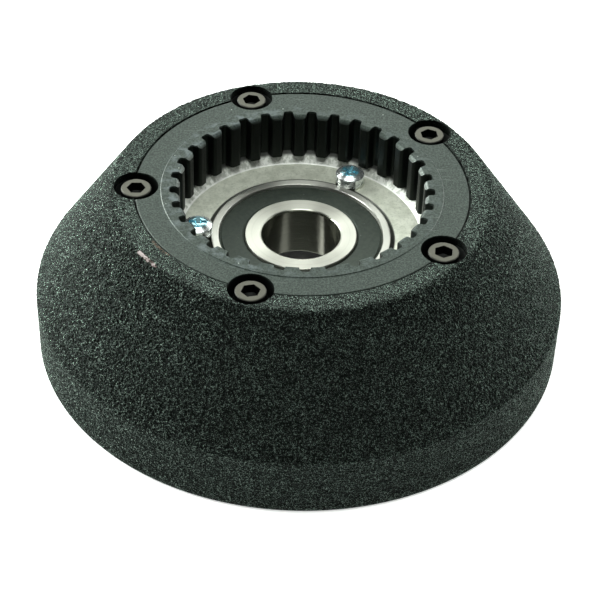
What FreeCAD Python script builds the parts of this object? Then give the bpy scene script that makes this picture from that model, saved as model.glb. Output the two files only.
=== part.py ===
import FreeCAD, Part
import math
import os

# Conical friction drive wheel with a toothed drive socket and a sealed ball bearing.
# Millimetres. The origin is the centre of the resting face, and +Z runs along the spin axis
# from the wide skirt towards the narrow, toothed end. Levels are heights above the resting face.

# Cone: the outside of the wheel, which is the outside of its grip coating.
HEIGHT = 39.0
SKIRT_R = 58.4
SKIRT_H = 13.8
TOP_R = 41.0
COAT_T = 1.8
TOP_EDGE_ROUND = 1.2
SHOULDER_ROUND = 1.5
FOOT_ROUND = 0.8

# Core: the moulded body under the coating, ribbed on its underside.
SOCKET_R = 36.0
CORE_WALL = 5.0
CORE_RING_R = 31.0
CORE_RING_OUTER_R = 40.6
CORE_RING_FOOT = 1.5
POCKET_ROOF = 20.0
RIB_COUNT = 10
RIB_T = 4.0
RIB_FOOT = 3.0

# Toothed ring: the internal drive teeth in the narrow end.
TOOTH_COUNT = 33
TOOTH_TURN = -0.49
TOOTH_ROOT_R = 28.55
TOOTH_TIP_R = 26.4
SLOT_ROOT_W = 2.0
SLOT_MOUTH_W = 2.7
SLOT_ROOT_ROUND = 0.65
TOOTH_TIP_ROUND = 0.75
RING_R = 35.95
RING_DEPTH = 10.6
RING_BAND_R = 30.4
RING_BAND_STEP = 0.15
RING_EDGE = 0.3
TOOTH_LEAD_IN = 0.75
TOOTH_DROP = 0.4
TOOTH_DROP_R = 28.35

# Bearing hub: the metal carrier under the toothed ring.
HUB_R = 35.9
HUB_SLOPE_TOP_R = 28.9
HUB_SLOPE_FOOT_R = 26.6
HUB_FLOOR = 25.74
HUB_FLANGE_FOOT = 21.2
HUB_BOSS_R = 25.5
HUB_FOOT = 12.0
HUB_LIP_R = 17.2
HUB_SEAT_R = 20.01
HUB_SEAT_CHAMFER = 0.6
HUB_PAD_R = 3.2

# Deep-groove ball bearing, 17 mm bore, 40 mm outside and 12 mm wide, sealed on both sides.
BORE_R = 8.5
BEARING_R = 20.0
BEARING_W = 12.0
BEARING_TOP = 26.3
BORE_ROUND = 0.6
OUTER_CHAMFER = 0.6
INNER_LAND_R = 12.25
OUTER_LAND_R = 16.6
SEAL_SEAT_R = 18.0
SEAL_SEAT_DEPTH = 1.7
BALL_COUNT = 8
BALL_R = 3.3735
BALL_PITCH_R = 14.25
GROOVE_R = 3.45
CAGE_INNER_R = 13.0
CAGE_OUTER_R = 15.5
CAGE_T = 0.5
CAGE_PLAY = 0.1
RIVET_R = 0.45
RIVET_HEAD_R = 0.8
RIVET_HEAD_H = 0.35

# Seals: a rubber ring on a flat steel washer, held in the outer ring.
SEAL_R = 17.95
SEAL_LIP_R = 12.36
SEAL_RECESS = 0.35
SEAL_T = 1.15
SEAL_STEEL_T = 0.3
SEAL_STEEL_R = 17.0
SEAL_STEEL_LIP_R = 13.0
SEAL_WEB_T = 0.6
SEAL_GROOVE_R = 17.45
SEAL_GROOVE_DEPTH = 0.45

# Key screws: number 8 socket-head screws on the seam between ring, hub and core.
KEY_COUNT = 5
KEY_TURN = 38.2
KEY_PITCH_R = 35.6
KEY_HEAD_R = 3.33
KEY_HEAD_H = 4.16
KEY_SOCKET_AF = 3.57
KEY_SOCKET_DEPTH = 2.0
KEY_SINK = 0.6
KEY_THREAD_R = 2.08
KEY_LENGTH = 19.0
KEY_PLAIN_LENGTH = 7.0
KEY_PITCH = 0.794
COUNTERBORE_R = 4.8
KEY_HOLE_R = 2.25

# Clamp screws: number 6 pan-head screws with spring washers, which hold the bearing in its seat.
CLAMP_COUNT = 3
CLAMP_TURN = 61.8
CLAMP_PITCH_R = 22.5
CLAMP_HEAD_R = 3.25
CLAMP_HEAD_H = 2.2
CLAMP_THREAD_R = 1.75
CLAMP_LENGTH = 10.0
CLAMP_PITCH = 0.794
CROSS_LENGTH = 3.9
CROSS_W = 0.9
CROSS_DEPTH = 1.5
WASHER_R = 3.18
WASHER_HOLE_R = 1.85
WASHER_T = 0.8
WASHER_GAP = 0.6
WASHER_SLANT = 0.7

# Worked out from the dimensions above.
RING_FOOT = HEIGHT - RING_DEPTH
BEARING_FOOT = BEARING_TOP - BEARING_W
BEARING_MIDDLE = BEARING_TOP - BEARING_W / 2
KEY_HEAD_TOP = HEIGHT - KEY_SINK
COUNTERBORE_FLOOR = KEY_HEAD_TOP - KEY_HEAD_H
CONE_SLOPE = math.hypot(SKIRT_R - TOP_R, HEIGHT - SKIRT_H)
CONE_NORMAL_R = (HEIGHT - SKIRT_H) / CONE_SLOPE
CONE_NORMAL_Z = (SKIRT_R - TOP_R) / CONE_SLOPE
WASHER_TOP = BEARING_TOP + WASHER_T

UP = FreeCAD.Vector(0, 0, 1)
CENTRE = FreeCAD.Vector(0, 0, 0)


def cone_r(depth, z):
    """Radius at height z of the surface that lies depth under the cone's outside."""
    reach = CONE_NORMAL_R * TOP_R + CONE_NORMAL_Z * HEIGHT - depth
    return (reach - CONE_NORMAL_Z * z) / CONE_NORMAL_R


def cone_z(depth, r):
    """Height at radius r of the surface that lies depth under the cone's outside."""
    reach = CONE_NORMAL_R * TOP_R + CONE_NORMAL_Z * HEIGHT - depth
    return (reach - CONE_NORMAL_R * r) / CONE_NORMAL_Z


def on_side(u, v):
    return FreeCAD.Vector(u, 0, v)


def on_plan(u, v):
    return FreeCAD.Vector(u, v, 0)


def rounded_wire(corners, place):
    """Closed wire through corners (u, v, rounding radius), laid in the plane that place gives."""
    points = [FreeCAD.Vector(corner[0], corner[1], 0) for corner in corners]
    bends = []
    for i, here in enumerate(points):
        radius = corners[i][2]
        back = (points[i - 1] - here).normalize()
        ahead = (points[(i + 1) % len(points)] - here).normalize()
        if radius == 0:
            bends.append([here])
            continue
        half = back.getAngle(ahead) / 2
        setback = radius / math.tan(half)
        bisector = (back + ahead).normalize()
        middle = here + bisector * (radius / math.sin(half) - radius)
        bends.append([here + back * setback, middle, here + ahead * setback])
    edges = []
    for i, bend in enumerate(bends):
        path = [place(point.x, point.y) for point in bend]
        if len(path) == 3:
            edges.append(Part.Arc(path[0], path[1], path[2]).toShape())
        following = bends[(i + 1) % len(bends)][0]
        edges.append(Part.makeLine(path[-1], place(following.x, following.y)))
    return Part.Wire(edges)


def turned(corners):
    """Solid of revolution about Z with the (r, z, rounding radius) corners as its section."""
    return Part.Face(rounded_wire(corners, on_side)).revolve(CENTRE, UP, 360)


def plate(wire, z, thickness):
    face = Part.Face(wire)
    face.translate(FreeCAD.Vector(0, 0, z))
    return face.extrude(FreeCAD.Vector(0, 0, thickness))


def rod(radius, foot, top, x=0.0, y=0.0):
    return Part.makeCylinder(radius, top - foot, FreeCAD.Vector(x, y, foot))


def disc_ring(inner_r, outer_r, foot, top):
    return rod(outer_r, foot, top).cut(rod(inner_r, foot - 1, top + 1))


def fused(shapes):
    return shapes[0].multiFuse(shapes[1:]).removeSplitter()


def around(shape, pitch_r, angle):
    """Copy of a shape made at the origin, moved out to pitch_r and turned to angle about Z."""
    copy = shape.copy()
    copy.translate(FreeCAD.Vector(pitch_r, 0, 0))
    copy.rotate(CENTRE, UP, angle)
    return copy


def angles(count, first):
    return [first + 360.0 * i / count for i in range(count)]


def polar_points(radius, half_width, angle, rounding):
    """Two corners at the given radius, half_width to either side of a spoke at angle."""
    spoke = math.radians(angle)
    side = math.asin(half_width / radius)
    corners = []
    for turn in (spoke - side, spoke + side):
        corners.append((radius * math.cos(turn), radius * math.sin(turn), rounding))
    return corners


def thread_corners(radius, pitch, foot, top):
    """Corners of a grooved screw shank, listed from its pointed end up to the level top."""
    groove = 0.54 * pitch
    corners = [(0, foot, 0), (radius - groove, foot, 0)]
    for i in range(int((top - foot) / pitch)):
        level = foot + i * pitch
        corners.append((radius, level + 0.45 * pitch, 0))
        corners.append((radius, level + 0.55 * pitch, 0))
        corners.append((radius - groove, level + pitch, 0))
    return corners


def key_counterbores():
    bore = rod(COUNTERBORE_R, COUNTERBORE_FLOOR, HEIGHT + 1)
    return [around(bore, KEY_PITCH_R, angle) for angle in angles(KEY_COUNT, KEY_TURN)]


def key_holes(radius, foot, top):
    hole = rod(radius, foot, top)
    return [around(hole, KEY_PITCH_R, angle) for angle in angles(KEY_COUNT, KEY_TURN)]


def grip_coating():
    skin_top = HEIGHT - COAT_T
    skin_r = SKIRT_R - COAT_T
    skin = turned([
        (SOCKET_R, HEIGHT, 0.3),
        (TOP_R, HEIGHT, TOP_EDGE_ROUND),
        (SKIRT_R, SKIRT_H, SHOULDER_ROUND),
        (SKIRT_R, 0, FOOT_ROUND),
        (skin_r, 0, 0),
        (skin_r, cone_z(COAT_T, skin_r), 0),
        (cone_r(COAT_T, skin_top), skin_top, 0),
        (SOCKET_R, skin_top, 0),
    ])
    return skin.cut(key_counterbores())


def pocket_section():
    """Section of the ribbed hollow on the core's underside."""
    outer_r = SKIRT_R - COAT_T - CORE_WALL
    roof_r = cone_r(COAT_T + CORE_WALL, POCKET_ROOF)
    return [
        (CORE_RING_OUTER_R, -1, 0),
        (outer_r, -1, 0),
        (outer_r, cone_z(COAT_T + CORE_WALL, outer_r), 2.0),
        (roof_r, POCKET_ROOF, 2.0),
        (CORE_RING_OUTER_R, POCKET_ROOF, 1.5),
    ]


def pocket_ribs():
    length = SKIRT_R - COAT_T - CORE_WALL - CORE_RING_OUTER_R + 2
    rib = Part.makeBox(length, RIB_T, POCKET_ROOF + 2 - RIB_FOOT,
                       FreeCAD.Vector(-1, -RIB_T / 2, RIB_FOOT))
    return [around(rib, CORE_RING_OUTER_R, angle) for angle in angles(RIB_COUNT, 0)]


def cone_core():
    core_top = HEIGHT - COAT_T
    core_r = SKIRT_R - COAT_T
    outer_r = core_r - CORE_WALL
    blank = turned([
        (SOCKET_R, core_top, 0),
        (cone_r(COAT_T, core_top), core_top, 0),
        (core_r, cone_z(COAT_T, core_r), 0),
        (core_r, 0, 0),
        (outer_r, 0, 0.6),
        (outer_r, CORE_RING_FOOT, 0),
        (CORE_RING_R, CORE_RING_FOOT, 0.6),
        (CORE_RING_R, HUB_FLANGE_FOOT, 0.4),
        (SOCKET_R, HUB_FLANGE_FOOT, 0),
    ])
    pockets = turned(pocket_section()).cut(pocket_ribs())
    cutters = [pockets] + key_counterbores()
    cutters += key_holes(KEY_HOLE_R, HUB_FLANGE_FOOT, COUNTERBORE_FLOOR + 1)
    cutters += key_holes(KEY_THREAD_R, COUNTERBORE_FLOOR - KEY_LENGTH - 1, HUB_FLANGE_FOOT + 1)
    return blank.cut(cutters)


def tooth_outline():
    """Closed outline of the toothed hole, one slot and one tooth at a time."""
    corners = []
    pitch = 360.0 / TOOTH_COUNT
    for i in range(TOOTH_COUNT):
        angle = TOOTH_TURN + i * pitch
        mouth = polar_points(TOOTH_TIP_R, SLOT_MOUTH_W / 2, angle, TOOTH_TIP_ROUND)
        root = polar_points(TOOTH_ROOT_R, SLOT_ROOT_W / 2, angle, SLOT_ROOT_ROUND)
        corners += [mouth[0], root[0], root[1], mouth[1]]
    return rounded_wire(corners, on_plan)


def toothed_ring():
    band_foot = HEIGHT - RING_BAND_STEP
    tooth_foot = RING_FOOT - TOOTH_DROP
    blank = turned([
        (TOOTH_TIP_R - 2, tooth_foot, 0),
        (TOOTH_DROP_R, tooth_foot, 0),
        (TOOTH_DROP_R, RING_FOOT, 0),
        (RING_R - RING_EDGE, RING_FOOT, 0),
        (RING_R, RING_FOOT + RING_EDGE, 0),
        (RING_R, band_foot - RING_EDGE, 0),
        (RING_R - RING_EDGE, band_foot, 0),
        (RING_BAND_R, band_foot, 0),
        (RING_BAND_R - RING_BAND_STEP, HEIGHT, 0),
        (TOOTH_TIP_R + TOOTH_LEAD_IN, HEIGHT, 0.5),
        (TOOTH_TIP_R - 2, HEIGHT - TOOTH_LEAD_IN - 2, 0),
    ])
    hole = plate(tooth_outline(), tooth_foot - 1, HEIGHT - tooth_foot + 2)
    cutters = [hole] + key_counterbores()
    cutters += key_holes(KEY_HOLE_R, RING_FOOT - 1, COUNTERBORE_FLOOR + 1)
    return blank.cut(cutters)


def bearing_hub():
    blank = turned([
        (HUB_SLOPE_TOP_R, RING_FOOT, 0.3),
        (HUB_R, RING_FOOT, 0.3),
        (HUB_R, HUB_FLANGE_FOOT, 0.3),
        (HUB_BOSS_R, HUB_FLANGE_FOOT, 1.2),
        (HUB_BOSS_R, HUB_FOOT, 1.0),
        (HUB_LIP_R, HUB_FOOT, 0.5),
        (HUB_LIP_R, BEARING_FOOT, 0),
        (HUB_SEAT_R, BEARING_FOOT, 0),
        (HUB_SEAT_R, HUB_FLOOR - HUB_SEAT_CHAMFER, 0),
        (HUB_SEAT_R + HUB_SEAT_CHAMFER, HUB_FLOOR, 0),
        (HUB_SLOPE_FOOT_R, HUB_FLOOR, 0.2),
    ])
    pad = rod(HUB_PAD_R, HUB_FLOOR - 1, BEARING_TOP)
    clamp_hole = rod(CLAMP_THREAD_R, WASHER_TOP - CLAMP_LENGTH - 1, BEARING_TOP + 1)
    pads = []
    holes = [rod(HUB_SEAT_R, BEARING_FOOT, HEIGHT)]
    for angle in angles(CLAMP_COUNT, CLAMP_TURN):
        pads.append(around(pad, CLAMP_PITCH_R, angle))
        holes.append(around(clamp_hole, CLAMP_PITCH_R, angle))
    holes += key_holes(KEY_HOLE_R, HUB_FLANGE_FOOT - 1, RING_FOOT + 1)
    return fused([blank] + pads).cut(holes)


def hexagon(across_flats):
    corner_r = across_flats / math.sqrt(3)
    corners = []
    for angle in angles(6, 0):
        turn = math.radians(angle)
        corners.append((corner_r * math.cos(turn), corner_r * math.sin(turn), 0))
    return rounded_wire(corners, on_plan)


def key_screw():
    plain_foot = COUNTERBORE_FLOOR - KEY_PLAIN_LENGTH
    shank = thread_corners(KEY_THREAD_R - 0.02, KEY_PITCH, COUNTERBORE_FLOOR - KEY_LENGTH, plain_foot)
    body = turned(shank + [
        (KEY_THREAD_R, plain_foot, 0),
        (KEY_THREAD_R, COUNTERBORE_FLOOR, 0),
        (KEY_HEAD_R, COUNTERBORE_FLOOR, 0),
        (KEY_HEAD_R, KEY_HEAD_TOP, 0.4),
        (0, KEY_HEAD_TOP, 0),
    ])
    socket = plate(hexagon(KEY_SOCKET_AF), KEY_HEAD_TOP - KEY_SOCKET_DEPTH, KEY_SOCKET_DEPTH + 1)
    drill_tip = Part.makeCone(0, KEY_SOCKET_AF / 2, 0.6,
                              FreeCAD.Vector(0, 0, KEY_HEAD_TOP - KEY_SOCKET_DEPTH - 0.6))
    return body.cut([socket, drill_tip])


def cross_recess(head_top):
    """Cross-shaped driver recess: two tapered slots and a cone, open at head_top."""
    taper = 0.35
    wing = [
        (-CROSS_LENGTH / 2 - taper, head_top + 1, 0),
        (CROSS_LENGTH / 2 + taper, head_top + 1, 0),
        (CROSS_LENGTH / 2, head_top - 0.2, 0),
        (CROSS_LENGTH / 2 - 1.0, head_top - CROSS_DEPTH, 0.3),
        (-CROSS_LENGTH / 2 + 1.0, head_top - CROSS_DEPTH, 0.3),
        (-CROSS_LENGTH / 2, head_top - 0.2, 0),
    ]
    slot = Part.Face(rounded_wire(wing, on_side)).extrude(FreeCAD.Vector(0, CROSS_W, 0))
    slot.translate(FreeCAD.Vector(0, -CROSS_W / 2, 0))
    other = slot.copy()
    other.rotate(CENTRE, UP, 90)
    heart = Part.makeCone(0.2, 1.0, CROSS_DEPTH + 0.4,
                          FreeCAD.Vector(0, 0, head_top - CROSS_DEPTH - 0.4))
    return fused([slot, other, heart])


def clamp_screw():
    head_top = WASHER_TOP + CLAMP_HEAD_H
    shank_r = CLAMP_THREAD_R - 0.02
    shank = thread_corners(shank_r, CLAMP_PITCH, WASHER_TOP - CLAMP_LENGTH, WASHER_TOP)
    body = turned(shank + [
        (shank_r, WASHER_TOP, 0),
        (CLAMP_HEAD_R, WASHER_TOP, 0.2),
        (CLAMP_HEAD_R, WASHER_TOP + 0.62 * CLAMP_HEAD_H, 0.4),
        (0.5 * CLAMP_HEAD_R, head_top, 1.6),
        (0, head_top, 0),
    ])
    return body.cut(cross_recess(head_top))


def spring_washer():
    ring = turned([
        (WASHER_HOLE_R, BEARING_TOP, 0.1),
        (WASHER_R, BEARING_TOP, 0.1),
        (WASHER_R, WASHER_TOP, 0.1),
        (WASHER_HOLE_R, WASHER_TOP, 0.1),
    ])
    slit = [
        (-WASHER_GAP / 2 - WASHER_SLANT, BEARING_TOP - 0.5, 0),
        (WASHER_GAP / 2 - WASHER_SLANT, BEARING_TOP - 0.5, 0),
        (WASHER_GAP / 2 + WASHER_SLANT, WASHER_TOP + 0.5, 0),
        (-WASHER_GAP / 2 + WASHER_SLANT, WASHER_TOP + 0.5, 0),
    ]
    return ring.cut(Part.Face(rounded_wire(slit, on_side)).extrude(FreeCAD.Vector(0, -WASHER_R - 1, 0)))


def raceway():
    return Part.makeTorus(BALL_PITCH_R, GROOVE_R, FreeCAD.Vector(0, 0, BEARING_MIDDLE))


def bearing_outer_ring():
    seat_foot = BEARING_TOP - SEAL_SEAT_DEPTH
    low_seat_top = BEARING_FOOT + SEAL_SEAT_DEPTH
    ring = turned([
        (BEARING_R, BEARING_FOOT, OUTER_CHAMFER),
        (BEARING_R, BEARING_TOP, OUTER_CHAMFER),
        (SEAL_SEAT_R, BEARING_TOP, 0.15),
        (SEAL_SEAT_R, seat_foot, 0),
        (OUTER_LAND_R, seat_foot, 0),
        (OUTER_LAND_R, low_seat_top, 0),
        (SEAL_SEAT_R, low_seat_top, 0),
        (SEAL_SEAT_R, BEARING_FOOT, 0.15),
    ])
    return ring.cut(raceway())


def bearing_inner_ring():
    ring = turned([
        (BORE_R, BEARING_FOOT, BORE_ROUND),
        (INNER_LAND_R, BEARING_FOOT, 0.2),
        (INNER_LAND_R, BEARING_TOP, 0.2),
        (BORE_R, BEARING_TOP, BORE_ROUND),
    ])
    return ring.cut(raceway())


def cage_half():
    """Upper half of the riveted ball cage, as a flat ribbon pressed over each ball."""
    pocket_r = BALL_R + CAGE_PLAY
    shell_r = pocket_r + CAGE_T
    shells = [disc_ring(CAGE_INNER_R, CAGE_OUTER_R, 0, CAGE_T)]
    pockets = []
    for angle in angles(BALL_COUNT, 0):
        shells.append(around(Part.makeSphere(shell_r), BALL_PITCH_R, angle))
        pockets.append(around(Part.makeSphere(pocket_r), BALL_PITCH_R, angle))
    ribbon = fused(shells).common(disc_ring(CAGE_INNER_R, CAGE_OUTER_R, 0, shell_r + 1))
    rivet_hole = rod(RIVET_R, -1, CAGE_T + 1)
    for angle in angles(BALL_COUNT, 180.0 / BALL_COUNT):
        pockets.append(around(rivet_hole, BALL_PITCH_R, angle))
    half = ribbon.cut(pockets)
    half.translate(FreeCAD.Vector(0, 0, BEARING_MIDDLE))
    return half


def flipped(shape):
    """Copy of a bearing piece, mirrored to the other side of the bearing."""
    return shape.mirror(FreeCAD.Vector(0, 0, BEARING_MIDDLE), UP)


def cage_rivet():
    top = BEARING_MIDDLE + CAGE_T
    foot = BEARING_MIDDLE - CAGE_T
    return turned([
        (0, foot - RIVET_HEAD_H, 0),
        (RIVET_HEAD_R, foot - RIVET_HEAD_H, 0.25),
        (RIVET_HEAD_R, foot, 0),
        (RIVET_R, foot, 0),
        (RIVET_R, top, 0),
        (RIVET_HEAD_R, top, 0),
        (RIVET_HEAD_R, top + RIVET_HEAD_H, 0.25),
        (0, top + RIVET_HEAD_H, 0),
    ])


def seal_rubber():
    """Upper seal: a rubber ring that is open inwards, where its steel washer lies."""
    face = BEARING_TOP - SEAL_RECESS
    web_foot = face - SEAL_WEB_T
    rim_foot = face - SEAL_T
    return turned([
        (SEAL_LIP_R, face - 0.35, 0.1),
        (SEAL_LIP_R + 0.5, face, 0.2),
        (SEAL_GROOVE_R, face, 0.15),
        (SEAL_GROOVE_R, face - SEAL_GROOVE_DEPTH, 0),
        (SEAL_R, face - SEAL_GROOVE_DEPTH, 0.1),
        (SEAL_R, rim_foot, 0.1),
        (SEAL_STEEL_R, rim_foot, 0),
        (SEAL_STEEL_R, web_foot, 0),
        (SEAL_STEEL_LIP_R, web_foot, 0),
        (SEAL_STEEL_LIP_R, rim_foot, 0.1),
        (SEAL_LIP_R, rim_foot, 0.1),
    ])


def seal_steel():
    web_foot = BEARING_TOP - SEAL_RECESS - SEAL_WEB_T
    return disc_ring(SEAL_STEEL_LIP_R, SEAL_STEEL_R, web_foot - SEAL_STEEL_T, web_foot)


def numbered(name, shape, count, pitch_r, first_angle):
    """Copies of one shape about the axis, each under its own numbered node name."""
    group = {}
    for i, angle in enumerate(angles(count, first_angle)):
        group[f"{name}_{i + 1}"] = around(shape, pitch_r, angle)
    return group


def all_nodes():
    ball = Part.makeSphere(BALL_R, FreeCAD.Vector(0, 0, BEARING_MIDDLE))
    nodes = {
        "grip_coating": grip_coating(),
        "cone_core": cone_core(),
        "toothed_ring": toothed_ring(),
        "bearing_hub": bearing_hub(),
        "bearing_outer_ring": bearing_outer_ring(),
        "bearing_inner_ring": bearing_inner_ring(),
        "cage_upper_half": cage_half(),
        "cage_lower_half": flipped(cage_half()),
        "upper_seal": seal_rubber(),
        "lower_seal": flipped(seal_rubber()),
        "upper_seal_washer": seal_steel(),
        "lower_seal_washer": flipped(seal_steel()),
    }
    nodes.update(numbered("key_screw", key_screw(), KEY_COUNT, KEY_PITCH_R, KEY_TURN))
    nodes.update(numbered("clamp_screw", clamp_screw(), CLAMP_COUNT, CLAMP_PITCH_R, CLAMP_TURN))
    nodes.update(numbered("spring_washer", spring_washer(), CLAMP_COUNT, CLAMP_PITCH_R, CLAMP_TURN))
    nodes.update(numbered("bearing_ball", ball, BALL_COUNT, BALL_PITCH_R, 0))
    nodes.update(numbered("cage_rivet", cage_rivet(), BALL_COUNT, BALL_PITCH_R, 180.0 / BALL_COUNT))
    return nodes


os.makedirs("parts", exist_ok=True)
for node_name, node_shape in all_nodes().items():
    print(node_name, len(node_shape.Solids), node_shape.isValid(), round(node_shape.Volume, 1))
    node_shape.exportStep(f"parts/{node_name}.step")
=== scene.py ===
import itertools
import math

import bmesh
import bpy
import numpy as np
from mathutils import Matrix, Quaternion, Vector


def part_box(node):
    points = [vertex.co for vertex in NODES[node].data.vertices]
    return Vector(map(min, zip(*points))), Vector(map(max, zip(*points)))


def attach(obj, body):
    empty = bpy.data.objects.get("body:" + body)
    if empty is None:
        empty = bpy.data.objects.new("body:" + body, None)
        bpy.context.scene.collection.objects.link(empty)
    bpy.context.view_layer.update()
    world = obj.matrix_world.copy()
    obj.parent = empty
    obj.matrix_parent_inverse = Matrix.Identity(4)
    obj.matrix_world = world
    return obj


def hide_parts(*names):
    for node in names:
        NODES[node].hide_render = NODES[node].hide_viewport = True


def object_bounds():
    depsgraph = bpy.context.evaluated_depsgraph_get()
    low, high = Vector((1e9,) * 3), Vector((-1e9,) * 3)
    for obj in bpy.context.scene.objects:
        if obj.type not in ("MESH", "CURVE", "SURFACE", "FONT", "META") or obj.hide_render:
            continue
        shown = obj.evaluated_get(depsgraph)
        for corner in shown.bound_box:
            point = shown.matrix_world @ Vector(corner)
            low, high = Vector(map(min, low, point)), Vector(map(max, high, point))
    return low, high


# Conical friction drive wheel. Everything is in metres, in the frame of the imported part:
# the origin is the centre of the resting face, and +Z is the spin axis.

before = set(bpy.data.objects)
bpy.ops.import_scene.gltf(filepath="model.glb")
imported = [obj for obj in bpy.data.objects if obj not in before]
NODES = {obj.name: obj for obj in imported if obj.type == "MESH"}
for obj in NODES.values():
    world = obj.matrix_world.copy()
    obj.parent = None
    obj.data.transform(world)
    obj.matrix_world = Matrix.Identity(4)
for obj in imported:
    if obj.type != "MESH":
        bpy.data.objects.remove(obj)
cad_low, cad_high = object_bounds()

MM = 0.001

# Camera: where it stands, what it looks at, its roll and its lens.
CAMERA_AT = Vector((0.0, -313.7, 273.9)) * MM
CAMERA_AIM = Vector((0.25, -37.4, 39.0)) * MM
CAMERA_ROLL = math.radians(1.93)
CAMERA_LENS = 109.5

# Reflections off the dark plastics are slightly green.
GREENISH = (0.82, 1.0, 0.88)

# Studio: softboxes by where each stands, its width and height, and its watts. All face LIGHTS_AIM.
LIGHTS_AIM = (0, 0, 0.03)
SOFTBOXES = {
    "back_box": ((0.0, 1.5, 1.1), (3.2, 1.2), 34),
    "left_box": ((-1.4, 0.6, 0.85), (1.1, 0.9), 42),
    "left_sweep": ((-1.3, 1.0, 0.32), (1.4, 0.5), 56),
    "right_sweep": ((1.3, 1.0, 0.32), (1.4, 0.5), 24),
    "right_box": ((1.6, 0.4, 0.8), (0.9, 0.8), 5),
    "top_box": ((0.0, -0.3, 1.65), (0.9, 0.8), 18),
    "front_box": ((0.0, -1.3, 1.3), (1.8, 1.0), 2),
}
SOFTBOX_COLOUR = (0.95, 1.0, 0.955)
SKY_COLOUR = (0.96, 1.0, 0.97)
SKY_STRENGTH = 0.03

# The floor glows evenly out from FLOOR_SHADE's outer radius, and faintly inside its inner one.
FLOOR_HALF = 6.0
FLOOR_GAP = 0.02 * MM
FLOOR_GLOW = 0.46
SHADED_GLOW = 0.012
FLOOR_SHADE = (31 * MM, 37 * MM)
# Two soft glows under the wheel that its bore mirrors: start, end, half width and strength.
BORE_GLOWS = (((9.1 * MM, -2.9 * MM), (19.8 * MM, -11.9 * MM), 6.0 * MM, 0.5),
              ((-10.6 * MM, 0.6 * MM), (-23.4 * MM, -4.8 * MM), 3.6 * MM, 1.8))

# Grip coating, in millimetres: its section, the rounds on its edges and its counterbores.
COAT_T = 1.8
SKIRT_H = 13.8
TOP_R = 41.0
SOCKET_R = 36.0
INNER_EDGE_ROUND = 0.3
TOP_EDGE_ROUND = 1.2
SHOULDER_ROUND = 1.5
FOOT_ROUND = 0.8
EDGE_STEPS = 4
ROUND_STEPS = 8
SHARP_ANGLE = math.radians(55)
COUNTERBORE_R = 4.8
COUNTERBORE_CUT = 8.0
COUNTERBORE_SIDES = 96

# Key screws: how many, their pitch radius in millimetres and the first one's angle in degrees.
KEY_COUNT = 5
KEY_PITCH_R = 35.6
KEY_TURN = 38.2

# Clamp screws, and bearing balls, which are as many as the cage's rivets.
CLAMP_COUNT = 3
BALL_COUNT = 8

# Grain of the coating, in millimetres: the mesh's step along the section and its points round the
# axis, the size of the pebbles and of the broad lumps, and the grain's depth on each face.
GRAIN_STEP = 0.21
GRAIN_TURNS = 1750
PEBBLE = 0.42
LUMP = 1.7
LUMP_SHARE = 0.15
LUMP_SHIFT = 40.0
CONE_GRAIN = 0.42
SKIRT_GRAIN = 0.3
TOP_GRAIN = 0.12
# Rows of the mesh over which the grain fades in at the inner edge and out above the foot.
INNER_FADE = 3
FOOT_FADE = 6
# Share of the pebbles' own height in the "grain" attribute. The rest is how deep a point was sunk.
OWN_HEIGHT = 0.35

# Marks on the coating: the radius, angle and height of each end as for polar, and the half width.
BROWN_RUB = ((36.5, 214.0, 39.0), (36.3, 222.0, 39.0), 0.8 * MM)
RIM_CHIP = ((40.65, 215.5, 38.85), (40.65, 224.0, 38.85), 0.62 * MM)

# Radii, heights and sides between which a surface changes its look, from none of it to all of it.
SEAM_WIDTH = (0.32 * MM, 0.16 * MM)
# The toothed ring's paler inner band, painted stronger towards the left as painted sheen.
RING_PALE_BAND = (31.5 * MM, 29.0 * MM)
RING_PALE_TOP = (38.4 * MM, 38.8 * MM)
RING_SHEEN_SIDE = (5 * MM, -15 * MM)
# Below these heights the toothed ring's walls are painted near black as painted shade.
RING_WALL_SHADE = (38.75 * MM, 38.3 * MM)
HUB_SLOPE = (26.3 * MM, 26.7 * MM)
# A painted highlight: a bright line round the hub where its slope meets its floor.
HUB_HIGHLIGHT_R = 26.6 * MM
HUB_HIGHLIGHT_WIDTH = (0.22 * MM, 0.1 * MM)
# Painted shade: the hub's corners under the ring and beside the bearing go near black.
HUB_OUTER_SHADE = (27.7 * MM, 28.3 * MM)
HUB_INNER_SHADE = (20.75 * MM, 20.5 * MM)
# The bearing's bore, painted darker than its faces as painted shade.
BORE_WALL = (8.85 * MM, 8.55 * MM)
# The outer ring's rim, painted near black as painted shade.
BEARING_RIM_SHADE = (19.55 * MM, 19.7 * MM)
# The key screws' flat tops are painted lighter as a painted highlight; their edges and sides keep the
# black oxide's dark colour.
KEY_HEAD_EDGE = (2.95 * MM, 3.2 * MM)
KEY_HEAD_BELOW = (38.38 * MM, 38.2 * MM)
CROSS_RECESS = (2.5 * MM, 1.9 * MM)
SEAM_BLACK = (0.001, 0.001, 0.001)


# ---------------------------------------------------------------- materials


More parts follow.
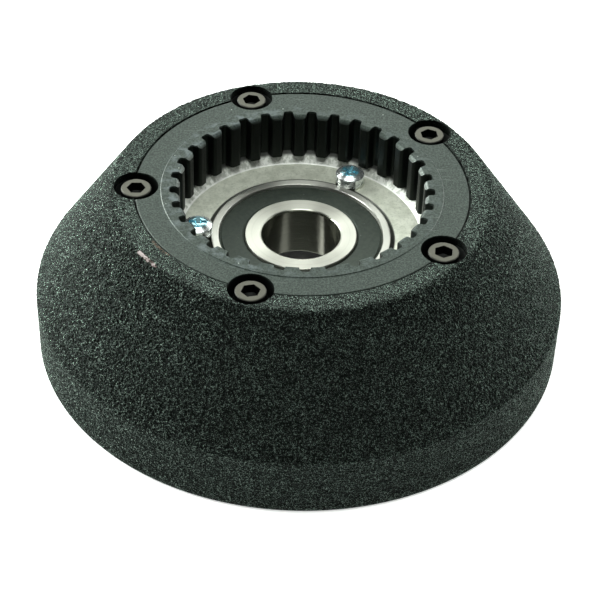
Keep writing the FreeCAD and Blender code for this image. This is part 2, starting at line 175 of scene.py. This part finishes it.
class Surface:
    """A node material in the making: its Principled shader and the nodes that feed it."""

    def __init__(self, name, roughness, metallic=0.0, specular=0.5, tint=(1.0, 1.0, 1.0)):
        self.material = bpy.data.materials.new(name)
        self.material.use_nodes = True
        self.tree = self.material.node_tree
        self.shader = self.tree.nodes["Principled BSDF"]
        self.shader.inputs["Roughness"].default_value = roughness
        self.shader.inputs["Metallic"].default_value = metallic
        self.shader.inputs["Specular IOR Level"].default_value = specular
        self.shader.inputs["Specular Tint"].default_value = (*tint, 1.0)
        self.place = self.node("ShaderNodeTexCoord").outputs["Object"]

    def node(self, kind, **settings):
        made = self.tree.nodes.new(kind)
        for key, value in settings.items():
            setattr(made, key, value)
        return made

    def feed(self, socket, value):
        """Links a socket to another node's output, or sets it to a plain value."""
        if isinstance(value, bpy.types.NodeSocket):
            self.tree.links.new(value, socket)
        else:
            socket.default_value = value

    def math(self, operation, first, second=0.0):
        made = self.node("ShaderNodeMath", operation=operation)
        self.feed(made.inputs[0], first)
        self.feed(made.inputs[1], second)
        return made.outputs[0]

    def noise(self, size, detail=2.0, roughness=0.5, stretch=None, place=None):
        """Noise from 0 to 1 whose features are about size metres across.

        stretch is a rotation and a scale of the place that the noise is read at.
        """
        made = self.node("ShaderNodeTexNoise")
        source = self.place if place is None else place
        if stretch is not None:
            mapping = self.node("ShaderNodeMapping")
            self.feed(mapping.inputs["Vector"], source)
            mapping.inputs["Rotation"].default_value = stretch[0]
            mapping.inputs["Scale"].default_value = stretch[1]
            source = mapping.outputs[0]
        self.feed(made.inputs["Vector"], source)
        made.inputs["Scale"].default_value = 1.0 / size
        made.inputs["Detail"].default_value = detail
        made.inputs["Roughness"].default_value = roughness
        return made.outputs["Fac"]

    def cells(self, size):
        """Distance to the nearest of scattered points, as a share of their spacing of size metres."""
        made = self.node("ShaderNodeTexVoronoi", feature="F1")
        self.feed(made.inputs["Vector"], self.place)
        made.inputs["Scale"].default_value = 1.0 / size
        return made.outputs["Distance"]

    def span(self, value, low, high, out_low=0.0, out_high=1.0):
        """Maps value from low..high to out_low..out_high, with smooth ends."""
        made = self.node("ShaderNodeMapRange", interpolation_type="SMOOTHSTEP")
        self.feed(made.inputs["Value"], value)
        made.inputs["From Min"].default_value = low
        made.inputs["From Max"].default_value = high
        made.inputs["To Min"].default_value = out_low
        made.inputs["To Max"].default_value = out_high
        return made.outputs["Result"]

    def blend(self, amount, first, second):
        """Colour between first and second."""
        made = self.node("ShaderNodeMix", data_type="RGBA")
        self.feed(made.inputs["Factor"], amount)
        for name, colour in (("A", first), ("B", second)):
            socket = [s for s in made.inputs if s.name == name and s.type == "RGBA"][0]
            self.feed(socket, colour if isinstance(colour, bpy.types.NodeSocket) else (*colour, 1.0))
        return [s for s in made.outputs if s.type == "RGBA"][0]

    def colour(self, value):
        self.feed(self.shader.inputs["Base Color"], value)

    def rough(self, value):
        self.feed(self.shader.inputs["Roughness"], value)

    def bump(self, height, depth, strength=1.0):
        """Adds a bump of the given depth in metres on top of the ones already there."""
        made = self.node("ShaderNodeBump")
        made.inputs["Strength"].default_value = strength
        made.inputs["Distance"].default_value = depth
        self.feed(made.inputs["Height"], height)
        below = self.shader.inputs["Normal"]
        if below.is_linked:
            self.feed(made.inputs["Normal"], below.links[0].from_socket)
        self.feed(below, made.outputs[0])

    def split(self):
        """The x, y and z of the place."""
        made = self.node("ShaderNodeSeparateXYZ")
        self.feed(made.inputs[0], self.place)
        return made.outputs

    def distance_from_axis(self, x=0.0, y=0.0):
        """Distance in the plan from the upright line through x, y."""
        across, along, _ = self.split()
        first = self.math("SUBTRACT", across, x)
        second = self.math("SUBTRACT", along, y)
        squares = self.math("ADD", self.math("MULTIPLY", first, first),
                            self.math("MULTIPLY", second, second))
        return self.math("SQRT", squares)

    def lathe(self):
        """Place in (radius, 0, height), where noise becomes rings round the axis."""
        made = self.node("ShaderNodeCombineXYZ")
        self.feed(made.inputs[0], self.distance_from_axis())
        self.feed(made.inputs[2], self.split()[2])
        return made.outputs[0]


def polar(radius, angle, z):
    """A place in metres, from a radius and a height in millimetres and an angle in degrees."""
    turn = math.radians(angle)
    return Vector((radius * math.cos(turn), radius * math.sin(turn), z)) * MM


def near_segment(surface, start, end, width):
    """1 on the straight line from start to end and 0 beyond width of it."""
    start, end = Vector(start), Vector(end)
    along = (end - start).normalized()
    offset = surface.node("ShaderNodeVectorMath", operation="SUBTRACT")
    surface.feed(offset.inputs[0], surface.place)
    offset.inputs[1].default_value = (start + end) / 2
    run = surface.node("ShaderNodeVectorMath", operation="DOT_PRODUCT")
    surface.feed(run.inputs[0], offset.outputs[0])
    run.inputs[1].default_value = along
    length = surface.node("ShaderNodeVectorMath", operation="LENGTH")
    surface.feed(length.inputs[0], offset.outputs[0])
    far = length.outputs["Value"]
    reach = run.outputs["Value"]
    squares = surface.math("SUBTRACT", surface.math("MULTIPLY", far, far),
                           surface.math("MULTIPLY", reach, reach))
    across = surface.math("SQRT", surface.math("MAXIMUM", squares, 0.0))
    half = (end - start).length / 2
    past = surface.math("SUBTRACT", surface.math("ABSOLUTE", reach), half)
    beyond = surface.math("MAXIMUM", past, 0.0)
    return surface.span(surface.math("ADD", across, beyond), width, width * 0.3)


def seam_grime(surface):
    """1 in the seam between the toothed ring and the coating, and 0 away from it."""
    off = surface.math("SUBTRACT", surface.distance_from_axis(), SOCKET_R * MM)
    filled = surface.span(surface.noise(2.4 * MM, 3.0, 0.6), 0.38, 0.58, 0.7, 1.0)
    return surface.math("MULTIPLY", surface.span(surface.math("ABSOLUTE", off), *SEAM_WIDTH), filled)


def mark(surface, start, end, width):
    """1 on the line between two places given as for polar, and 0 beyond width of it."""
    return near_segment(surface, polar(*start), polar(*end), width)


def grip_material():
    """Sprayed polyurethane: rubbed greenish-grey pebble tops, with painted shade that darkens the
    valleys between them to near black.
    """
    made = Surface("grip_coat", 0.5, specular=0.07, tint=GREENISH)
    lift = made.node("ShaderNodeAttribute", attribute_name="grain").outputs["Fac"]
    fine = made.noise(0.2 * MM, 2.0, 0.55)
    patch = made.noise(7 * MM, 3.0, 0.55)
    top = made.blend(patch, (0.155, 0.202, 0.175), (0.236, 0.305, 0.264))
    height = made.math("ADD", made.math("MULTIPLY", lift, 0.15), made.math("MULTIPLY", fine, 0.88))
    # Painted shade: where the grain is low, the colour goes near black in the valleys.
    pebble_tops = made.span(height, 0.56, 0.69)
    body = made.blend(pebble_tops, (0.0015, 0.0019, 0.0017), top)
    rub = mark(made, *BROWN_RUB)
    rub = made.math("MULTIPLY", rub, made.span(made.noise(0.5 * MM, 3.0, 0.7), 0.4, 0.65, 0.0, 0.55))
    rubbed = made.blend(rub, body, (0.16, 0.095, 0.065))
    seam = seam_grime(made)
    dirty = made.blend(seam, rubbed, SEAM_BLACK)
    chip = mark(made, *RIM_CHIP)
    chip = made.math("MULTIPLY", chip, made.span(made.noise(0.8 * MM, 3.0), 0.25, 0.65))
    chipped = made.blend(made.span(chip, 0.1, 0.5), dirty, (0.09, 0.055, 0.05))
    made.colour(made.blend(made.span(chip, 0.35, 0.8), chipped, (0.4, 0.345, 0.345)))
    dulled = made.math("MAXIMUM", chip, seam)
    shine = made.math("MULTIPLY", pebble_tops, made.math("SUBTRACT", 1.0, dulled))
    made.feed(made.shader.inputs["Metallic"], made.math("MULTIPLY", shine, 0.8))
    made.rough(made.math("MAXIMUM", made.span(pebble_tops, 0.0, 0.5, 0.66, 0.26), seam))
    made.bump(fine, 0.3 * MM, 1.0)
    return made.material


def ring_material():
    """Moulded acetal: satin black with fine scratches, a mottled face and a paler inner band, painted
    stronger towards the left as painted sheen. Its tooth walls are painted near black as painted
    shade.
    """
    made = Surface("ring_acetal", 0.42, specular=0.22, tint=GREENISH)
    cloud = made.noise(5 * MM, 4.0, 0.6)
    mottle = made.noise(0.4 * MM, 4.0, 0.7)
    body = made.blend(cloud, (0.0088, 0.0128, 0.0108), (0.018, 0.0238, 0.0208))
    speckled = made.blend(made.span(mottle, 0.38, 0.66), body, (0.046, 0.057, 0.0505))
    scratch = made.noise(0.9 * MM, 5.0, 0.65, ((0, 0, 0.6), (0.05, 1.0, 1.0)))
    other = made.noise(0.8 * MM, 5.0, 0.65, ((0, 0, -0.9), (0.05, 1.0, 1.0)))
    marks = made.math("MAXIMUM", made.span(scratch, 0.62, 0.72), made.span(other, 0.63, 0.73))
    marked = made.blend(made.math("MULTIPLY", marks, 0.4), speckled, (0.17, 0.185, 0.17))
    # A paler inner band near the top, painted stronger towards the left as painted sheen.
    inner = made.span(made.distance_from_axis(), *RING_PALE_BAND)
    upper = made.span(made.split()[2], *RING_PALE_TOP)
    left = made.span(made.split()[0], *RING_SHEEN_SIDE, 0.25, 1.0)
    pale_band = made.math("MULTIPLY", made.math("MULTIPLY", inner, upper), left)
    patches = made.math("MULTIPLY", made.span(made.noise(2.6 * MM, 4.0, 0.65), 0.45, 0.65), pale_band)
    paled = made.blend(made.math("MULTIPLY", patches, 0.6), marked, (0.115, 0.135, 0.143))
    flecks = made.math("MULTIPLY", made.span(made.cells(2.6 * MM), 0.07, 0.03),
                       made.span(made.noise(4 * MM, 1.0), 0.5, 0.6))
    flecked = made.blend(flecks, paled, (0.32, 0.36, 0.33))
    # Painted shade: the tooth walls below the top face go near black.
    wall_shade = made.span(made.split()[2], *RING_WALL_SHADE)
    flecked = made.blend(wall_shade, flecked, (0.0016, 0.0019, 0.0019))
    seam = seam_grime(made)
    made.colour(made.blend(seam, flecked, SEAM_BLACK))
    made.rough(made.math("MAXIMUM", made.span(mottle, 0.35, 0.65, 0.52, 0.38), seam))
    made.bump(mottle, 0.03 * MM, 0.6)
    made.bump(marks, 0.012 * MM, 0.5)
    return made.material


def core_material():
    """Glass-filled nylon: dull black with a faint flow pattern."""
    made = Surface("core_nylon", 0.58)
    flow = made.noise(6 * MM, 4.0, 0.6)
    made.colour(made.blend(flow, (0.012, 0.0135, 0.013), (0.024, 0.026, 0.025)))
    made.rough(made.span(flow, 0.3, 0.7, 0.5, 0.66))
    made.bump(made.noise(0.4 * MM, 3.0, 0.6), 0.02 * MM, 0.6)
    return made.material


def hub_material():
    """Die-cast aluminium: olive-grey cast grain, streaked and bright where it was turned.

    Painted shade darkens the corners under the ring and beside the bearing, and a painted highlight
    lines the edge between the slope and the floor.
    """
    made = Surface("hub_aluminium", 0.5, metallic=0.35, specular=0.7)
    grain = made.noise(0.6 * MM, 4.0, 0.7)
    cloud = made.noise(2.6 * MM, 4.0, 0.6)
    rings = made.noise(0.22 * MM, 2.0, 0.5, place=made.lathe())
    reach = made.distance_from_axis()
    streaks = made.noise(1.1 * MM, 3.0, 0.6, ((0, 0, 0), (1.0, 1.0, 0.25)))
    bright = made.blend(made.span(cloud, 0.3, 0.7), (0.56, 0.585, 0.49), (0.76, 0.78, 0.68))
    cast = made.blend(made.span(grain, 0.5, 0.72, 0.0, 0.6), bright, (0.36, 0.38, 0.315))
    turned = made.blend(made.span(streaks, 0.42, 0.6, 0.0, 0.8), (0.9, 0.91, 0.87), (0.42, 0.44, 0.39))
    slope = made.span(reach, *HUB_SLOPE)
    # Painted highlight: a bright line where the slope meets the floor.
    edge = made.math("ABSOLUTE", made.math("SUBTRACT", reach, HUB_HIGHLIGHT_R))
    lined = made.blend(slope, cast, turned)
    lined = made.blend(made.span(edge, *HUB_HIGHLIGHT_WIDTH, 0.0, 0.8), lined, (1.0, 1.0, 0.97))
    # Painted shade: the corners under the ring and beside the bearing go near black.
    corners = made.math("MAXIMUM", made.span(reach, *HUB_OUTER_SHADE),
                        made.span(reach, *HUB_INNER_SHADE))
    made.colour(made.blend(made.math("MULTIPLY", corners, 0.94), lined, (0.02, 0.022, 0.019)))
    made.rough(made.span(grain, 0.3, 0.7, 0.4, 0.62))
    made.bump(grain, 0.06 * MM, 0.7)
    made.bump(rings, 0.012 * MM, 0.5)
    return made.material


def ground_steel_material(name, tones, roughness):
    """Hardened bearing steel, ground round its axis: satin faces and a polished bore. Painted shade
    darkens the bore and turns the outer rim near black.
    """
    made = Surface(name, roughness, metallic=1.0)
    made.shader.inputs["Anisotropic"].default_value = 0.85
    made.shader.inputs["Anisotropic Rotation"].default_value = 0.25
    rings = made.noise(0.09 * MM, 3.0, 0.6, place=made.lathe())
    bands = made.noise(0.8 * MM, 2.0, 0.5, place=made.lathe())
    stain = made.noise(2 * MM, 4.0, 0.6)
    dark, light = Vector(tones), Vector(tones) * 1.15
    base = made.blend(stain, tuple(dark), tuple(light))
    banded = made.blend(made.span(bands, 0.55, 0.75, 0.0, 0.3), base, tuple(dark * 0.7))
    reach = made.distance_from_axis()
    # Painted shade: the polished bore is painted darker than the faces.
    bore = made.span(reach, *BORE_WALL)
    lined = made.blend(bore, banded, (0.29, 0.3, 0.245))
    # Painted shade: the outer ring's rim goes near black.
    made.colour(made.blend(made.span(reach, *BEARING_RIM_SHADE), lined, (0.025, 0.026, 0.022)))
    satin = made.span(rings, 0.3, 0.7, roughness - 0.05, roughness + 0.08)
    made.rough(made.math("SUBTRACT", satin, made.math("MULTIPLY", bore, 0.16)))
    made.bump(rings, 0.006 * MM, 0.5)
    return made.material


def pressed_steel_material():
    """Cold-rolled strip for the cage, its rivets and the seal washers, with an oily film."""
    made = Surface("cage_steel", 0.34, metallic=1.0)
    film = made.noise(1.6 * MM, 3.0, 0.6)
    made.colour(made.blend(film, (0.42, 0.4, 0.34), (0.6, 0.58, 0.53)))
    made.rough(made.span(film, 0.3, 0.7, 0.26, 0.44))
    made.bump(made.noise(0.2 * MM, 3.0, 0.6), 0.006 * MM, 0.6)
    return made.material


def ball_material():
    """Lapped ball steel with a thin film of grease."""
    made = Surface("ball_steel", 0.06, metallic=1.0)
    film = made.noise(1.2 * MM, 2.0, 0.5)
    made.colour(made.blend(film, (0.78, 0.78, 0.77), (0.88, 0.88, 0.87)))
    made.rough(made.span(film, 0.3, 0.7, 0.04, 0.12))
    return made.material


def seal_material():
    """Moulded nitrile rubber: dark green-grey, matt, with faint moulding rings."""
    made = Surface("seal_rubber", 0.56, specular=0.45, tint=GREENISH)
    cloud = made.noise(0.9 * MM, 5.0, 0.65)
    rings = made.noise(0.3 * MM, 2.0, 0.5, place=made.lathe())
    dust = made.math("MULTIPLY", made.span(made.cells(1.7 * MM), 0.1, 0.04), 0.6)
    body = made.blend(made.span(cloud, 0.35, 0.65), (0.0105, 0.0135, 0.0105), (0.029, 0.034, 0.0275))
    made.colour(made.blend(dust, body, (0.16, 0.17, 0.16)))
    made.rough(made.span(cloud, 0.3, 0.7, 0.48, 0.64))
    made.bump(rings, 0.012 * MM, 0.6)
    made.bump(made.noise(0.25 * MM, 3.0, 0.6), 0.01 * MM, 0.5)
    return made.material


def black_screw_material(name, x, y):
    """Black-oxide steel, with the flat top of a head on the axis x, y painted a lighter olive grey as
    a painted highlight.
    """
    made = Surface(name, 0.4, metallic=1.0)
    oxide = made.noise(0.9 * MM, 4.0, 0.6)
    # Painted highlight: the lighter olive grey of the flat top; the black oxide's own dark colour
    # stays at the edge and below.
    rubbed = made.blend(oxide, (0.068, 0.067, 0.056), (0.125, 0.122, 0.102))
    edge = made.span(made.distance_from_axis(x, y), *KEY_HEAD_EDGE)
    below = made.span(made.split()[2], *KEY_HEAD_BELOW)
    plain_oxide = made.math("MAXIMUM", made.math("MULTIPLY", edge, 0.8), below)
    made.colour(made.blend(plain_oxide, rubbed, (0.016, 0.0165, 0.016)))
    made.rough(made.span(oxide, 0.3, 0.7, 0.38, 0.54))
    made.bump(made.noise(0.2 * MM, 3.0, 0.6), 0.008 * MM, 0.6)
    return made.material


def zinc_material(name, x, y):
    """Bright zinc plating: bluish, and more so inside the driver recess on the axis x, y."""
    made = Surface(name, 0.24, metallic=0.88)
    film = made.noise(0.8 * MM, 3.0, 0.55)
    plain = made.blend(film, (0.72, 0.76, 0.77), (0.9, 0.93, 0.93))
    heart = made.span(made.distance_from_axis(x, y), *CROSS_RECESS, 0.0, 0.85)
    made.colour(made.blend(heart, plain, (0.36, 0.7, 0.8)))
    made.rough(made.span(film, 0.3, 0.7, 0.18, 0.3))
    made.bump(made.noise(0.25 * MM, 2.0, 0.5), 0.008 * MM, 0.5)
    return made.material


def floor_material():
    """Pale studio floor. Seen from below it is clear, so that the underside can be looked at."""
    made = Surface("studio_floor", 0.9, specular=0.1)
    tone = made.noise(0.4, 2.0)
    made.colour(made.blend(tone, (0.9, 0.9, 0.9), (0.93, 0.93, 0.93)))
    made.shader.inputs["Emission Color"].default_value = (1.0, 1.0, 1.0, 1.0)
    glow = made.span(made.distance_from_axis(), *FLOOR_SHADE, SHADED_GLOW, FLOOR_GLOW)
    for start, end, width, strength in BORE_GLOWS:
        stripe = near_segment(made, (*start, 0.0), (*end, 0.0), width)
        glow = made.math("ADD", glow, made.math("MULTIPLY", stripe, strength))
    made.feed(made.shader.inputs["Emission Strength"], glow)
    clear = made.node("ShaderNodeBsdfTransparent")
    side = made.node("ShaderNodeNewGeometry")
    mix = made.node("ShaderNodeMixShader")
    made.feed(mix.inputs[0], side.outputs["Backfacing"])
    made.feed(mix.inputs[1], made.shader.outputs[0])
    made.feed(mix.inputs[2], clear.outputs[0])
    output = [n for n in made.tree.nodes if n.type == "OUTPUT_MATERIAL"][0]
    made.feed(output.inputs["Surface"], mix.outputs[0])
    return made.material


def new_object(name, data):
    """Adds an object with the given mesh, light or camera to the scene."""
    made = bpy.data.objects.new(name, data)
    bpy.context.scene.collection.objects.link(made)
    return made


# ---------------------------------------------------------------- grip coating


def arc_corner(before, corner, after, radius, steps):
    """Points of the arc that rounds a corner of an outline, in the (r, z) plane."""
    back = (before - corner).normalized()
    ahead = (after - corner).normalized()
    half = back.angle(ahead) / 2
    setback = radius / math.tan(half)
    centre = corner + (back + ahead).normalized() * (radius / math.sin(half))
    first = corner + back * setback - centre
    last = corner + ahead * setback - centre
    turn = first.angle_signed(last)
    points = []
    for i in range(steps + 1):
        swing = -turn * i / steps
        points.append(centre + Vector((
            first.x * math.cos(swing) - first.y * math.sin(swing),
            first.x * math.sin(swing) + first.y * math.cos(swing))))
    return points


def coat_outline(skirt_r, height):
    """Section of the coating: its visible outside first, then its hidden inside."""
    slope = math.hypot(skirt_r - TOP_R, height - SKIRT_H)
    normal = Vector((height - SKIRT_H, skirt_r - TOP_R)) / slope
    reach = normal.dot(Vector((TOP_R, height))) - COAT_T
    inner_r = skirt_r - COAT_T
    inner_top = height - COAT_T
    corners = [Vector((SOCKET_R, height)), Vector((TOP_R, height)),
               Vector((skirt_r, SKIRT_H)), Vector((skirt_r, 0)), Vector((inner_r, 0))]
    socket = Vector((SOCKET_R, inner_top))
    outside = arc_corner(socket, corners[0], corners[1], INNER_EDGE_ROUND, EDGE_STEPS)
    for i, radius in ((1, TOP_EDGE_ROUND), (2, SHOULDER_ROUND), (3, FOOT_ROUND)):
        outside += arc_corner(corners[i - 1], corners[i], corners[i + 1], radius, ROUND_STEPS)
    outside.append(corners[-1])
    inside = [Vector((inner_r, (reach - normal.x * inner_r) / normal.y)),
              Vector(((reach - normal.y * inner_top) / normal.x, inner_top)), socket]
    return outside, inside


def evenly(points, step):
    """The same polyline with points every step along it, its ends kept."""
    lengths = [0.0]
    for before, after in zip(points, points[1:]):
        lengths.append(lengths[-1] + (after - before).length)
    count = round(lengths[-1] / step)
    marks = np.linspace(0, lengths[-1], count + 1)
    return [Vector((r, z)) for r, z in zip(np.interp(marks, lengths, [p.x for p in points]),
                                           np.interp(marks, lengths, [p.y for p in points]))]


def scatter(cells, salt):
    """A repeatable value from 0 to 1 for each whole-numbered cell. Large odd factors mix the bits."""
    mixed = cells[:, 0] * 73856093 ^ cells[:, 1] * 19349663 ^ cells[:, 2] * 83492791
    mixed = mixed ^ salt * 2654435761
    mixed = (mixed ^ (mixed >> 13)) * 1274126177
    return ((mixed ^ (mixed >> 16)) & 0xFFFF) / 65535.0


def domes(points, size):
    """Rounded lumps about size across, one to a cell: 0 in the valleys and up to 1 on top.

    A lump's middle is anywhere in its cell but the outer tenth, and its width varies.
    """
    places = points / size
    base = np.floor(places).astype(np.int64)
    height = np.zeros(len(points))
    for shift in itertools.product((-1, 0, 1), repeat=3):
        cell = base + np.array(shift)
        centre = cell + np.stack([0.1 + 0.8 * scatter(cell, salt) for salt in (1, 2, 3)], axis=1)
        reach = 0.5 + 0.36 * scatter(cell, 4)
        gap = np.sum((places - centre) ** 2, axis=1) / reach ** 2
        height = np.maximum(height, 1.0 - gap)
    return height


def grain(points):
    """Height of the pebbled grain at points in millimetres, from 0 in a valley to 1 on top."""
    return (1 - LUMP_SHARE) * domes(points, PEBBLE) + LUMP_SHARE * domes(points + LUMP_SHIFT, LUMP)


def grain_depth(r, z):
    """Depth of the grain in millimetres: coarse on the cone, finer on the skirt and the top."""
    to_top = np.clip((r - TOP_R + TOP_EDGE_ROUND) / TOP_EDGE_ROUND, 0, 1)
    on_cone = TOP_GRAIN + (CONE_GRAIN - TOP_GRAIN) * to_top
    return np.where(z > SKIRT_H, on_cone, SKIRT_GRAIN)


def spun(section, circle):
    """Points of an (r, z) section turned round the axis, a whole circle for each of its points."""
    around = section[:, None, :1] * circle[None, :, :]
    level = np.broadcast_to(section[:, None, 1:], around.shape[:2] + (1,))
    return np.concatenate([around, level], axis=2).reshape(-1, 3)


def closed_faces(count):
    """Faces between count circles of points, each joined to the next and the last to the first."""
    row, turn = np.meshgrid(np.arange(count), np.arange(GRAIN_TURNS), indexing="ij")
    following = (row + 1) % count
    beside = (turn + 1) % GRAIN_TURNS
    corners = [row * GRAIN_TURNS + turn, following * GRAIN_TURNS + turn,
               following * GRAIN_TURNS + beside, row * GRAIN_TURNS + beside]
    return np.stack(corners, axis=2).reshape(-1, 4)


def faded_depth(outline):
    """Depth of the grain in millimetres at each point of the outline, and none at its ends."""
    rows = np.arange(len(outline))
    foot_rows = 2 * FOOT_ROUND / GRAIN_STEP
    above_foot = len(rows) - 1 - rows - foot_rows
    fade = np.clip(np.minimum(rows / INNER_FADE, above_foot / FOOT_FADE), 0, 1)
    return grain_depth(outline[:, 0], outline[:, 1]) * fade


def coat_mesh():
    """The coating's closed skin: its section spun round the axis, with the grain sunk into it."""
    _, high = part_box("grip_coating")
    outside, inside = coat_outline(high.x / MM, high.z / MM)
    outline = np.array([tuple(point) for point in evenly(outside, GRAIN_STEP)])
    run = np.gradient(outline, axis=0)
    run /= np.linalg.norm(run, axis=1)[:, None]
    inward = np.stack([run[:, 1], -run[:, 0]], axis=1)
    turns = 2 * np.pi * np.arange(GRAIN_TURNS) / GRAIN_TURNS
    circle = np.stack([np.cos(turns), np.sin(turns)], axis=1)
    lift = grain(spun(outline, circle)).reshape(len(outline), GRAIN_TURNS)
    sunk = faded_depth(outline)[:, None] * (1.0 - lift)
    r = outline[:, :1] + inward[:, :1] * sunk
    z = outline[:, 1:] + inward[:, 1:] * sunk
    shell = np.stack([r * circle[:, 0], r * circle[:, 1], z], axis=2).reshape(-1, 3)
    hidden = spun(np.array([tuple(point) for point in inside]), circle)
    vertices = np.concatenate([shell, hidden]) * MM
    mesh = bpy.data.meshes.new("grip_coat_skin")
    mesh.from_pydata(vertices, [], closed_faces(len(outline) + len(inside)))
    # The grain attribute is low in the valleys, where the coating's material paints them near black as
    # painted shade.
    heights = mesh.attributes.new("grain", "FLOAT", "POINT")
    grain_height = OWN_HEIGHT * lift.ravel() + (1 - OWN_HEIGHT) * (1.0 - sunk.ravel() / CONE_GRAIN)
    heights.data.foreach_set("value", np.concatenate([grain_height, np.zeros(len(hidden))]))
    mesh.update()
    return mesh


def counterbore_cutter(height):
    """Upright cylinders that cut the key screws' counterbores out of the coating."""
    cutter = bmesh.new()
    for i in range(KEY_COUNT):
        centre = polar(KEY_PITCH_R, KEY_TURN + 360.0 * i / KEY_COUNT, height)
        bmesh.ops.create_cone(cutter, cap_ends=True, segments=COUNTERBORE_SIDES,
                              radius1=COUNTERBORE_R * MM, radius2=COUNTERBORE_R * MM,
                              depth=COUNTERBORE_CUT * MM, matrix=Matrix.Translation(centre))
    mesh = bpy.data.meshes.new("counterbore_cutter")
    cutter.to_mesh(mesh)
    cutter.free()
    return new_object("counterbore_cutter", mesh)


def grip_coating():
    """The visible coating, which takes the place of the plain CAD one."""
    skin = new_object("grip_coat_skin", coat_mesh())
    cutter = counterbore_cutter(cad_high.z / MM)
    cut = skin.modifiers.new("counterbores", "BOOLEAN")
    cut.operation = "DIFFERENCE"
    cut.solver = "EXACT"
    cut.object = cutter
    graph = bpy.context.evaluated_depsgraph_get()
    finished = bpy.data.meshes.new_from_object(skin.evaluated_get(graph))
    skin.modifiers.clear()
    skin.data = finished
    bpy.data.objects.remove(cutter)
    finished.shade_smooth()
    finished.set_sharp_from_angle(angle=SHARP_ANGLE)
    finished.materials.clear()
    finished.materials.append(grip_material())
    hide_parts("grip_coating")
    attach(skin, "wheel")


# ---------------------------------------------------------------- carried-over CAD nodes


def dress(names, material):
    """Gives the CAD nodes one material each."""
    for name in names:
        slots = NODES[name].data.materials
        slots.clear()
        slots.append(material)


def numbered(name, count):
    """name_1, name_2 and so on."""
    return [f"{name}_{i + 1}" for i in range(count)]


def middle_of(name):
    """The x and y of a CAD node's middle."""
    low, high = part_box(name)
    centre = (low + high) / 2
    return centre.x, centre.y


def dress_nodes():
    """Gives every CAD node but the coating its material."""
    dress(["toothed_ring"], ring_material())
    dress(["cone_core"], core_material())
    dress(["bearing_hub"], hub_material())
    dress(["bearing_outer_ring"], ground_steel_material("outer_ring_steel", (0.5, 0.5, 0.46), 0.4))
    dress(["bearing_inner_ring"], ground_steel_material("inner_ring_steel", (0.42, 0.42, 0.375), 0.36))
    dress(["cage_upper_half", "cage_lower_half", "upper_seal_washer", "lower_seal_washer"]
          + numbered("cage_rivet", BALL_COUNT), pressed_steel_material())
    dress(numbered("bearing_ball", BALL_COUNT), ball_material())
    dress(["upper_seal", "lower_seal"], seal_material())
    blacks = numbered("black_screw", KEY_COUNT)
    for screw, name in zip(numbered("key_screw", KEY_COUNT), blacks):
        dress([screw], black_screw_material(name, *middle_of(screw)))
    washers = numbered("spring_washer", CLAMP_COUNT)
    zincs = numbered("zinc", CLAMP_COUNT)
    for screw, washer, name in zip(numbered("clamp_screw", CLAMP_COUNT), washers, zincs):
        dress([screw, washer], zinc_material(name, *middle_of(screw)))


# ---------------------------------------------------------------- stage


def make_floor():
    mesh = bpy.data.meshes.new("studio_floor")
    corners = [(-1, -1), (1, -1), (1, 1), (-1, 1)]
    mesh.from_pydata([(x * FLOOR_HALF, y * FLOOR_HALF, 0) for x, y in corners], [], [(0, 1, 2, 3)])
    floor = new_object("studio_floor", mesh)
    floor.location.z = cad_low.z - FLOOR_GAP
    mesh.materials.append(floor_material())


def softbox(name, at, size, power):
    """A rectangular lamp that faces LIGHTS_AIM and that the camera doesn't see."""
    lamp = bpy.data.lights.new(name, "AREA")
    lamp.shape = "RECTANGLE"
    lamp.size, lamp.size_y = size
    lamp.energy = power
    lamp.color = SOFTBOX_COLOUR
    made = new_object(name, lamp)
    made.location = at
    made.rotation_euler = (Vector(at) - Vector(LIGHTS_AIM)).to_track_quat("Z", "Y").to_euler()
    made.visible_camera = False


def make_lights():
    for name, (at, size, power) in SOFTBOXES.items():
        softbox(name, at, size, power)
    world = bpy.data.worlds.new("studio_world")
    world.use_nodes = True
    sky = world.node_tree.nodes["Background"]
    sky.inputs["Color"].default_value = (*SKY_COLOUR, 1.0)
    sky.inputs["Strength"].default_value = SKY_STRENGTH
    bpy.context.scene.world = world
    bpy.context.scene.view_settings.view_transform = "Standard"


def make_camera():
    lens = bpy.data.cameras.new("camera")
    lens.lens = CAMERA_LENS
    lens.sensor_width = 36.0
    lens.clip_start = 0.01
    lens.clip_end = 50.0
    camera = new_object("camera", lens)
    camera.location = CAMERA_AT
    level = (CAMERA_AT - CAMERA_AIM).to_track_quat("Z", "Y")
    camera.rotation_mode = "QUATERNION"
    camera.rotation_quaternion = level @ Quaternion((0, 0, 1), CAMERA_ROLL)
    bpy.context.scene.camera = camera


make_camera()
make_lights()
make_floor()
dress_nodes()
grip_coating()
